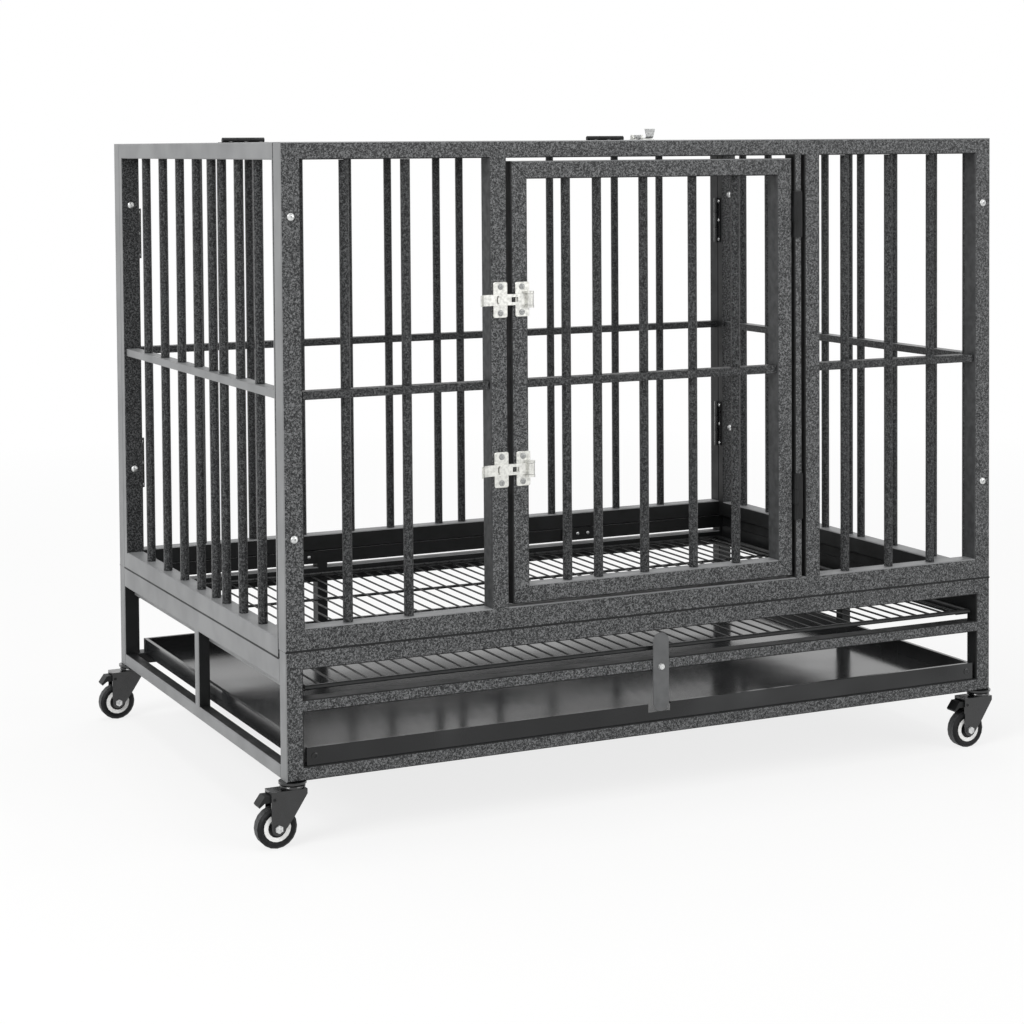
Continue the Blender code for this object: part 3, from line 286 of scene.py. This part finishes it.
# Coated wire of the floor grid: black, duller than the forks
WIRE_COATING = surface(
    "black_coated_wire", [(0.35, "141515"), (0.70, "202122")],
    blot_mm=10.0, peel_mm=1.8, peel_height_mm=0.08, roughness=0.4, gloss=0.4,
)

# Zinc plated and tumbled steel of the latches: almost white, with faint grey clouds
LATCH_STEEL = surface(
    "bright_zinc_plate", [(0.32, "bdbdb9"), (0.60, "dfdfda")],
    blot_mm=4.0, peel_mm=1.2, peel_height_mm=0.05, roughness=0.34, metallic=0.6, detail=3.0,
)

# Zinc plated bolts and screws: bright, a little greyer than the latches
BOLT_STEEL = surface(
    "zinc_plated_bolt", [(0.32, "a9aaab"), (0.60, "dcdddc")],
    blot_mm=2.0, peel_mm=1.0, peel_height_mm=0.05, roughness=0.28, metallic=0.7, detail=3.0,
)

# Plain steel of the latches' screws and the roof latch's arm: dull mid grey, softly mottled
SCREW_STEEL = surface(
    "dull_steel_screw", [(0.35, "7b7c7c"), (0.60, "a8a9a8")],
    blot_mm=1.5, peel_mm=1.0, peel_height_mm=0.05, roughness=0.4, metallic=0.5, detail=3.0,
)

# White moulded plastic of the wheels: even, slightly dull
RIM_PLASTIC = surface(
    "white_moulded_plastic", [(0.35, "f6f6f4"), (0.65, "fcfcfb")],
    blot_mm=6.0, peel_mm=0.8, peel_height_mm=0.03, roughness=0.4,
)

# Black moulded plastic of the wheels' hubs: soft sheen, barely mottled
HUB_PLASTIC = surface(
    "black_hub_plastic", [(0.35, "161718"), (0.65, "1f2021")],
    blot_mm=6.0, peel_mm=0.8, peel_height_mm=0.04, roughness=0.45, gloss=0.4,
)

# Dark moulded rubber of the tyres' treads: matt, drawn paler grey than the walls as painted light
TREAD_RUBBER_PAINTED_LIGHT = surface(
    "tyre_tread_rubber_painted_light", [(0.35, "333435"), (0.70, "4c4d4e")],
    blot_mm=3.0, peel_mm=0.7, peel_height_mm=0.08, roughness=0.6, gloss=0.35, detail=4.0,
)

# The tyres' walls, from the mould's smooth faces: black with a soft sheen
WALL_RUBBER = surface(
    "black_tyre_rubber", [(0.35, "111213"), (0.70, "1a1b1c")],
    blot_mm=3.0, peel_mm=0.7, peel_height_mm=0.04, roughness=0.5, gloss=0.2,
)

# The CAD nodes that have one material each, by the start of their names: the first that fits
FITTINGS = (
    # The front grilles take the bars' darker enamel: painted shade
    ("front_grille", SHADED_BAR_ENAMEL),
    ("floor_grid", WIRE_COATING),
    ("tray", TRAY_SHEET),
    ("turn_plate", PLATE_PAINT),
    ("door_hinge", INNER_SHADE_AND_BLACK_ENAMEL),
    ("roof_hinge", INNER_SHADE_AND_BLACK_ENAMEL),
    ("brake", INNER_SHADE_AND_BLACK_ENAMEL),
    ("corner_hinge", BLACK_COATING),
    ("fork", BLACK_COATING),
    ("mount", BLACK_COATING),
    ("roof_latch_arm", SCREW_STEEL),
    ("roof_latch", LATCH_STEEL),
    ("latch", LATCH_STEEL),
    ("axle", BOLT_STEEL),
)


# CAD nodes: smooth shading and materials by face

def smooth(mesh):
    """Give a mesh smooth normals across its flatter edges."""
    nearest = math.cos(math.radians(SMOOTH_DEGREES))
    keys = [tuple(round(part, 6) for part in vert.co) for vert in mesh.vertices]
    around = {}
    for face in mesh.polygons:
        for index in face.vertices:
            around.setdefault(keys[index], []).append((face.normal.copy(), face.area))
    normals = []
    for face in mesh.polygons:
        for index in face.vertices:
            total = Vector()
            for normal, area in around[keys[index]]:
                if normal.dot(face.normal) > nearest:
                    total += normal * area
            normals.append(total.normalized() if total.length else face.normal.copy())
    mesh.shade_smooth()
    mesh.normals_split_custom_set(normals)


def dress(node, choose):
    """Give each face of a CAD node the material that is chosen for it."""
    mesh = NODES[node].data
    mesh.materials.clear()
    for face in mesh.polygons:
        material = choose(face)
        if material.name not in mesh.materials:
            mesh.materials.append(material)
        face.material_index = mesh.materials.find(material.name)
    smooth(mesh)


def in_window(node, axis):
    """Tells whether a face lies well inside a panel's window, where the bars are."""
    low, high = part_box(node)
    start, end, bottom, top = PANEL_MARGINS[node]

    def test(face):
        across = low[axis] + start < face.center[axis] < high[axis] - end
        return across and low.z + bottom < face.center.z < high.z - top
    return test


def front_faces(node, upper):
    """Choose a front frame's enamel by face, lit faces lighter and shaded faces darker as painted
    light and shade; faces that look up take the given one.
    """
    start, end = LEFT_FACE_SHADE_SPANS[node]

    def choose(face):
        across = face.center.x - FRAME_MIDDLE.x
        if face.center.y < FRONT_Y - SKIN:
            return BOLT_STEEL  # the turn plate's screw
        if abs(face.normal.x) > SQUARE_ON and abs(across) > HALF_W - END_DEPTH:
            return LIT_FACE_ENAMEL
        if max(face.normal.x, face.normal.y, -face.normal.z) > SQUARE_ON:
            return INNER_SHADE_AND_BLACK_ENAMEL
        if face.normal.z > SQUARE_ON:
            return upper
        if face.normal.x < -SQUARE_ON:
            return INNER_SHADE_AND_BLACK_ENAMEL if start < across < end else REVEAL_SHADE_ENAMEL
        return HAMMERED
    return choose


def dress_front():
    """Front faces hammered, outer ends and upper edges lighter grey as painted light, the other
    faces darker as painted shade.
    """
    dress("front_frame", front_faces("front_frame", LIT_FACE_ENAMEL))
    # The base's upper faces take the near black enamel: painted shade
    dress("base_front", front_faces("base_front", INNER_SHADE_AND_BLACK_ENAMEL))
    is_bar = in_window("door", 0)
    door_frame = front_faces("door", LIT_FACE_ENAMEL)
    dress("door", lambda face: SHADED_BAR_ENAMEL if is_bar(face) else door_frame(face))


def dress_rear():
    """The rear is hammered outside, painted black inside as shade, with its ends and top painted
    lighter grey as light.
    """
    is_bar = in_window("rear_panel", 0)

    def rear_frame(face):
        if face.normal.y > SQUARE_ON:
            return HAMMERED
        at_end = abs(face.center.x - FRAME_MIDDLE.x) > HALF_W - END_DEPTH
        lit = face.normal.z > SQUARE_ON or (at_end and abs(face.normal.x) > SQUARE_ON)
        return LIT_FACE_ENAMEL if lit else INNER_SHADE_AND_BLACK_ENAMEL

    dress("rear_panel", lambda face: SHADED_BAR_ENAMEL if is_bar(face) else rear_frame(face))
    dress("base_rear", rear_frame)


def dress_side(name, side):
    """A side is painted lighter grey outside and on top as light, dark inside as painted shade,
    and in the darker flecked enamel on bars and front as painted shade.
    """
    panel = name + "_panel"
    verts = NODES[panel].data.vertices
    inside = in_window(panel, 1)

    def panel_face(face):
        lit = face.normal.x * side > ASLANT or face.normal.z > SQUARE_ON
        if inside(face):
            heights = [verts[index].co.z for index in face.vertices]
            mid_rail = max(heights) - min(heights) < MID_RAIL_TALL
            return LIT_FACE_ENAMEL if lit and mid_rail else SHADED_BAR_ENAMEL
        # Faces that look to the front take the bars' darker enamel: painted shade
        if face.normal.y < -SQUARE_ON:
            return SHADED_BAR_ENAMEL
        return LIT_FACE_ENAMEL if lit else INNER_SHADE_AND_BLACK_ENAMEL

    def base_face(face):
        return LIT_FACE_ENAMEL if face.normal.x * side > ASLANT else INNER_SHADE_AND_BLACK_ENAMEL

    dress(panel, panel_face)
    dress("base_" + name, base_face)


def dress_roof():
    """The lid is hammered where it faces the sky, and painted black below as shade."""
    dress("roof_lid", lambda face: HAMMERED if face.normal.z > ASLANT else INNER_SHADE_AND_BLACK_ENAMEL)


def dress_wheel(node):
    """A white ring round a black hub."""
    low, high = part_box(node)
    axle = (low + high) / 2

    def wheel_face(face):
        from_axle = math.hypot(face.center.x - axle.x, face.center.z - axle.z)
        return HUB_PLASTIC if from_axle < HUB_R else RIM_PLASTIC

    dress(node, wheel_face)


def dress_tyre(node):
    """Rubber, paler grey on the tread as painted light, with black walls on its two sides."""
    dress(node, lambda face: WALL_RUBBER if abs(face.normal.y) > SQUARE_ON else TREAD_RUBBER_PAINTED_LIGHT)


def dress_fittings():
    """The grid, tray, turn plate, hinges, latches and casters, each in its own material."""
    for node in NODES:
        for start, material in FITTINGS:
            if node.startswith(start):
                dress(node, lambda face: material)
                break
        if node.startswith("wheel"):
            dress_wheel(node)
        elif node.startswith("tyre"):
            dress_tyre(node)


# Shapes of the small pieces

def piece(name, shape, body, material):
    """A finished small piece from a bmesh, riding on a body."""
    bmesh.ops.recalc_face_normals(shape, faces=shape.faces[:])
    mesh = bpy.data.meshes.new(name)
    shape.to_mesh(mesh)
    shape.free()
    mesh.materials.append(material)
    mesh.shade_smooth()
    mesh.set_sharp_from_angle(angle=math.radians(SMOOTH_DEGREES))
    thing = bpy.data.objects.new(name, mesh)
    bpy.context.scene.collection.objects.link(thing)
    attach(thing, body)


def turned(shape, profile, place, way):
    """Add a closed profile of (radius, height), spun about the line from place along way."""
    turn = Vector(way).to_track_quat("Z", "Y").to_matrix().to_4x4()
    seat = Matrix.Translation(Vector(place)) @ turn
    rings = []
    for radius, height in profile:
        ring = []
        for step in range(SIDES if radius > 0 else 1):
            angle = 2 * math.pi * step / SIDES
            point = Vector((radius * math.cos(angle), radius * math.sin(angle), height))
            ring.append(shape.verts.new(seat @ point))
        rings.append(ring)
    for lower, upper in zip(rings, rings[1:]):
        for step in range(SIDES):
            after = (step + 1) % SIDES
            corners = [lower[step % len(lower)], lower[after % len(lower)],
                       upper[after % len(upper)], upper[step % len(upper)]]
            shape.faces.new(list(dict.fromkeys(corners)))


def dome(radius, height, steps=5):
    """The profile of a dome head with a deep round drive, from its hollow out to its foot."""
    hollow = radius * 0.32
    foot = height * 0.18
    rim_degrees = 72
    profile = [(0.0, height * 0.3), (hollow * 0.75, height * 0.35), (hollow, height * 0.95)]
    for step in range(steps + 1):
        turn = math.radians(rim_degrees - rim_degrees * step / steps)
        profile.append((radius * math.cos(turn), foot + (height - foot) * math.sin(turn)))
    return profile + [(radius, 0.0), (0.0, 0.0)]


def low_head(radius, height):
    """The profile of a low screw head with a wide drive and a rounded rim."""
    hollow = radius * 0.42
    return [
        (0.0, height * 0.25), (hollow * 0.8, height * 0.3), (hollow, height),
        (radius * 0.8, height), (radius, height * 0.5), (radius, 0.0), (0.0, 0.0),
    ]


def flat(shape, outline, seat, thickness):
    """Add a thin plate: the outline, a list of (across, up), thickened along the seat's Z."""
    low = [shape.verts.new(seat @ Vector((across, up, 0.0))) for across, up in outline]
    high = [shape.verts.new(seat @ Vector((across, up, thickness))) for across, up in outline]
    shape.faces.new(low)
    shape.faces.new(high)
    for step in range(len(outline)):
        after = (step + 1) % len(outline)
        shape.faces.new([low[step], low[after], high[after], high[step]])


def rounded(wide, tall, radius, steps=4):
    """A rectangle's outline with round corners."""
    outline = []
    for quarter, (side, end) in enumerate(((1, 1), (-1, 1), (-1, -1), (1, -1))):
        for step in range(steps + 1):
            angle = math.radians(90 * (quarter + step / steps))
            outline.append((
                side * (wide / 2 - radius) + radius * math.cos(angle),
                end * (tall / 2 - radius) + radius * math.sin(angle),
            ))
    return outline


def line(long, wide):
    """The outline of a thin line with rounded ends."""
    return rounded(long, wide, wide / 3)


def facing(place, way):
    """The seat of a flat piece: at a place, looking along way, with its Y axis upward."""
    out = Vector(way)
    across = Vector((0, 0, 1)).cross(out)
    return Matrix((
        (across.x, 0, out.x, place[0]),
        (across.y, 0, out.y, place[1]),
        (across.z, 1, out.z, place[2]),
        (0, 0, 0, 1),
    ))


# The small pieces

def base_seam_shades():
    """Dark lines of painted shade in the gaps where the upper panels stand on the base."""
    shape = bmesh.new()
    side_y = (LEFT_PANEL[0].y + LEFT_PANEL[1].y) / 2
    side_z = (LEFT_PANEL[0].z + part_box("base_left")[1].z) / 2
    front_z = (FRONT_FRAME[0].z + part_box("base_front")[1].z) / 2
    side_line = line(LEFT_PANEL[1].y - LEFT_PANEL[0].y, SEAM_SHADE)
    front_line = line(2 * HALF_W, SEAM_SHADE)
    for outline, place, way in (
        (side_line, (LEFT_PANEL[0].x, side_y, side_z), (-1, 0, 0)),
        (side_line, (RIGHT_PANEL[1].x, side_y, side_z), (1, 0, 0)),
        (front_line, (FRAME_MIDDLE.x, FRONT_Y, front_z), (0, -1, 0)),
        (front_line, (FRAME_MIDDLE.x, REAR_PANEL[1].y, side_z), (0, 1, 0)),
    ):
        flat(shape, outline, facing(place, way), SKIN)
    piece("base_seam_shades", shape, "crate_frame", INNER_SHADE_AND_BLACK_ENAMEL)


def door_mitres():
    """The welded mitre lines at the door's four corners."""
    low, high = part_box("door")
    shape = bmesh.new()
    for side, x in ((-1, low.x), (1, high.x)):
        for end, z in ((-1, low.z), (1, high.z)):
            place = (x - side * DOOR_TUBE / 2, low.y, z - end * DOOR_TUBE / 2)
            turn = Matrix.Rotation(math.radians(45 * side * end), 4, "Z")
            seat = facing(place, (0, -1, 0)) @ turn
            flat(shape, line(DOOR_TUBE * MITRE_REACH, MITRE), seat, SKIN / 2)
    piece("door_mitres", shape, "front_door", INNER_SHADE_AND_BLACK_ENAMEL)


def corner_bolts():
    """Dome bolts through the front corner posts and the rear ends of the side panels."""
    shape = bmesh.new()
    for side in (-1, 1):
        x = FRAME_MIDDLE.x + side * (HALF_W - BOLT_INSET)
        for y in (FRONT_Y, LEFT_PANEL[1].y - REAR_END_BAR):
            for z in BOLT_HEIGHTS:
                turned(shape, dome(BOLT_R, BOLT_H), (x, y - SKIN, z), (0, -1, 0))
    piece("corner_bolts", shape, "crate_frame", BOLT_STEEL)


def joint_plates():
    """Plates with three screws each, on the inside of the rear upper base rail."""
    plates = bmesh.new()
    screws = bmesh.new()
    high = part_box("base_rear")[1]
    wide, thick, tall = PLATE_SIZE
    z = high.z - tall / 2 - 2 * SKIN
    face_y = high.y - BASE_RAIL_T - SKIN
    for x in (-PLATE_X - PLATE_SCREW_STEP, PLATE_X):
        x += FRAME_MIDDLE.x
        flat(plates, rounded(wide, tall, PLATE_ROUND), facing((x, face_y, z), (0, -1, 0)), thick)
        for step in (-1, 0, 1):
            place = (x + step * PLATE_SCREW_STEP, face_y - thick - SKIN, z)
            turned(screws, dome(SCREW_R, SCREW_H * 2), place, (0, -1, 0))
    piece("joint_plates", plates, "crate_frame", INNER_SHADE_AND_BLACK_ENAMEL)
    piece("joint_plate_screws", screws, "crate_frame", BOLT_STEEL)


def latch_screws():
    """Two screws on each front latch's mount and keeper."""
    for part, body in (("latch_mount", "front_door"), ("latch_keeper", "crate_frame")):
        for level in ("upper", "lower"):
            node = f"{part}_{level}"
            low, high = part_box(node)
            middle = (low + high) / 2
            x = low.x + LATCH_SCREW_FROM_SIDE if part == "latch_mount" else middle.x
            y = high.y - LATCH_PLATE_T - SKIN
            shape = bmesh.new()
            for side in (-1, 1):
                z = middle.z + side * ((high.z - low.z) / 2 - LATCH_SCREW_FROM_END)
                turned(shape, low_head(LATCH_SCREW_R, SCREW_H), (x, y, z), (0, -1, 0))
            piece(node + "_screws", shape, body, SCREW_STEEL)


def corner_hinge_screws():
    """Three screws on each leaf of the corner hinges, inside the cage."""
    for level in ("upper", "lower"):
        shape = bmesh.new()
        for side, name in ((-1, "left"), (1, "right")):
            low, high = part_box(f"corner_hinge_{level}_{name}")
            middle = (low + high) / 2
            x = high.x - HINGE_LEAF_T - SKIN if side > 0 else low.x + HINGE_LEAF_T + SKIN
            for y in (low.y + CORNER_SCREW_INSET, high.y - CORNER_SCREW_INSET):
                for step in (-1, 0, 1):
                    place = (x, y, middle.z + step * CORNER_SCREW_STEP)
                    turned(shape, low_head(CORNER_SCREW_R, SCREW_H), place, (-side, 0, 0))
        piece(f"corner_hinge_screws_{level}", shape, "crate_frame", BOLT_STEEL)


def roof_hinge_screws():
    """Three screws on top of each leaf of the roof hinges."""
    for half, body in (("rail", "crate_frame"), ("lid", "lid")):
        shape = bmesh.new()
        for name in ("left", "right"):
            low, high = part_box(f"roof_hinge_{name}_{half}_half")
            middle = (low + high) / 2
            y = high.y - ROOF_SCREW_INSET if half == "rail" else low.y + ROOF_SCREW_INSET
            for step in (-1, 0, 1):
                place = (middle.x + step * ROOF_SCREW_STEP, y, low.z + HINGE_LEAF_T + SKIN)
                turned(shape, low_head(SCREW_R, SCREW_H), place, (0, 0, 1))
        piece(f"roof_hinge_screws_{half}", shape, body, BLACK_COATING)


def tray_bolts():
    """A low bolt near each end of the tray's front wall."""
    low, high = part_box("tray")
    shape = bmesh.new()
    for x in (low.x + TRAY_BOLT_INSET, high.x - TRAY_BOLT_INSET):
        place = (x, low.y - SKIN, (low.z + high.z) / 2)
        turned(shape, low_head(TRAY_BOLT_R, SCREW_H), place, (0, -1, 0))
    piece("tray_bolts", shape, "drawer", TRAY_SHEET)


def race_rings():
    """A rolled ring round each caster's swivel head, which covers its balls."""
    shape = bmesh.new()
    profile = []
    for step in range(RACE_SIDES + 1):
        angle = math.radians(360 / RACE_SIDES * step)
        profile.append((RACE_R + RACE_ROUND * math.cos(angle), RACE_ROUND * math.sin(angle)))
    for node in NODES:
        if node.startswith("mount"):
            low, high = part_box(node)
            level = high.z - RACE_GAP - RACE_ROUND * 2
            turned(shape, profile, ((low.x + high.x) / 2, (low.y + high.y) / 2, level), (0, 0, 1))
    bmesh.ops.remove_doubles(shape, verts=shape.verts, dist=SKIN / 100)
    piece("race_rings", shape, "crate_frame", BLACK_COATING)


# Studio

def camera():
    """The camera at the photograph's place and angle."""
    turn = math.radians(CAMERA_AZIMUTH)
    down = math.radians(CAMERA_DOWN)
    roll = math.radians(CAMERA_ROLL)
    ahead = Vector((
        math.sin(turn) * math.cos(down),
        math.cos(turn) * math.cos(down),
        -math.sin(down),
    ))
    right = Vector((math.cos(turn), -math.sin(turn), 0.0))
    up = right.cross(ahead)
    across = right * math.cos(roll) + up * math.sin(roll)
    upward = up * math.cos(roll) - right * math.sin(roll)
    data = bpy.data.cameras.new("camera")
    data.sensor_width = SENSOR_MM
    data.lens = FOCAL_PX / IMAGE_PX * SENSOR_MM
    data.shift_x = (IMAGE_PX / 2 - CENTRE_PX[0]) / IMAGE_PX
    data.shift_y = (CENTRE_PX[1] - IMAGE_PX / 2) / IMAGE_PX
    data.clip_end = VIEW_DEPTH
    thing = bpy.data.objects.new("camera", data)
    bpy.context.scene.collection.objects.link(thing)
    thing.matrix_world = Matrix((
        (across.x, upward.x, -ahead.x, CAMERA_PLACE.x + FRAME_MIDDLE.x),
        (across.y, upward.y, -ahead.y, CAMERA_PLACE.y + FRAME_MIDDLE.y),
        (across.z, upward.z, -ahead.z, CAMERA_PLACE.z),
        (0, 0, 0, 1),
    ))
    bpy.context.scene.camera = thing


def lamp(name, place, target, size, power):
    """A square soft light aimed at a point."""
    data = bpy.data.lights.new(name, "AREA")
    data.shape = "SQUARE"
    data.size = size
    data.energy = power
    thing = bpy.data.objects.new(name, data)
    bpy.context.scene.collection.objects.link(thing)
    thing.location = place
    aim = Vector(target) - Vector(place)
    thing.rotation_euler = aim.to_track_quat("-Z", "Y").to_euler()


def sees_white(tree):
    """1 for rays from the camera or off shiny and clear surfaces, which see a white room."""
    path = add(tree, "ShaderNodeLightPath").outputs
    share = path["Is Camera Ray"]
    for ray in ("Is Glossy Ray", "Is Transmission Ray"):
        both = {0: share, 1: path[ray]}
        share = add(tree, "ShaderNodeMath", both, operation="MAXIMUM").outputs[0]
    return share


def floor():
    """A white floor that keeps the crate's shadow and turns to plain white further out."""
    shape = bmesh.new()
    bmesh.ops.create_grid(shape, x_segments=1, y_segments=1, size=FLOOR_HALF)
    mesh = bpy.data.meshes.new("floor")
    shape.to_mesh(mesh)
    shape.free()
    thing = bpy.data.objects.new("floor", mesh)
    bpy.context.scene.collection.objects.link(thing)
    material = bpy.data.materials.new("white_floor")
    material.use_nodes = True
    tree = material.node_tree
    shader = tree.nodes["Principled BSDF"]
    shader.inputs["Base Color"].default_value = linear("f7f7f6")
    shader.inputs["Roughness"].default_value = 0.9
    shader.inputs["Specular IOR Level"].default_value = 0.1
    where = add(tree, "ShaderNodeTexCoord").outputs["Object"]
    away = add(tree, "ShaderNodeVectorMath", {0: where}, operation="LENGTH").outputs["Value"]
    fade = add(tree, "ShaderNodeMapRange", {"Value": away}, inputs={
        "From Min": FADE_START, "From Max": FADE_END, "To Min": NEAR_WHITE, "To Max": 1.0,
    }).outputs["Result"]
    both = {0: fade, 1: sees_white(tree)}
    share = add(tree, "ShaderNodeMath", both, operation="MULTIPLY").outputs[0]
    plain = add(tree, "ShaderNodeEmission", inputs={"Color": linear("ffffff"), "Strength": 1.0})
    mixed = {"Fac": share, 1: shader.outputs[0], 2: plain.outputs[0]}
    mix = add(tree, "ShaderNodeMixShader", mixed).outputs[0]
    tree.links.new(mix, tree.nodes["Material Output"].inputs["Surface"])
    mesh.materials.append(material)


def studio():
    """A room that is white to the camera and to shiny surfaces, and soft lights."""
    world = bpy.data.worlds.new("studio")
    world.use_nodes = True
    tree = world.node_tree
    tree.nodes.clear()
    white = linear("ffffff")
    light = add(tree, "ShaderNodeBackground", inputs={"Color": white, "Strength": ROOM_LIGHT})
    plain = add(tree, "ShaderNodeBackground", inputs={"Color": white, "Strength": 1.0})
    mixed = {"Fac": sees_white(tree), 1: light.outputs[0], 2: plain.outputs[0]}
    mix = add(tree, "ShaderNodeMixShader", mixed).outputs[0]
    add(tree, "ShaderNodeOutputWorld", {"Surface": mix})
    bpy.context.scene.world = world
    for settings in LAMPS:
        lamp(*settings)
    bpy.context.scene.view_settings.view_transform = "Standard"


camera()
dress_front()
dress_rear()
dress_side("left", -1)
dress_side("right", 1)
dress_roof()
dress_fittings()
base_seam_shades()
door_mitres()
corner_bolts()
joint_plates()
latch_screws()
corner_hinge_screws()
roof_hinge_screws()
tray_bolts()
race_rings()
floor()
studio()
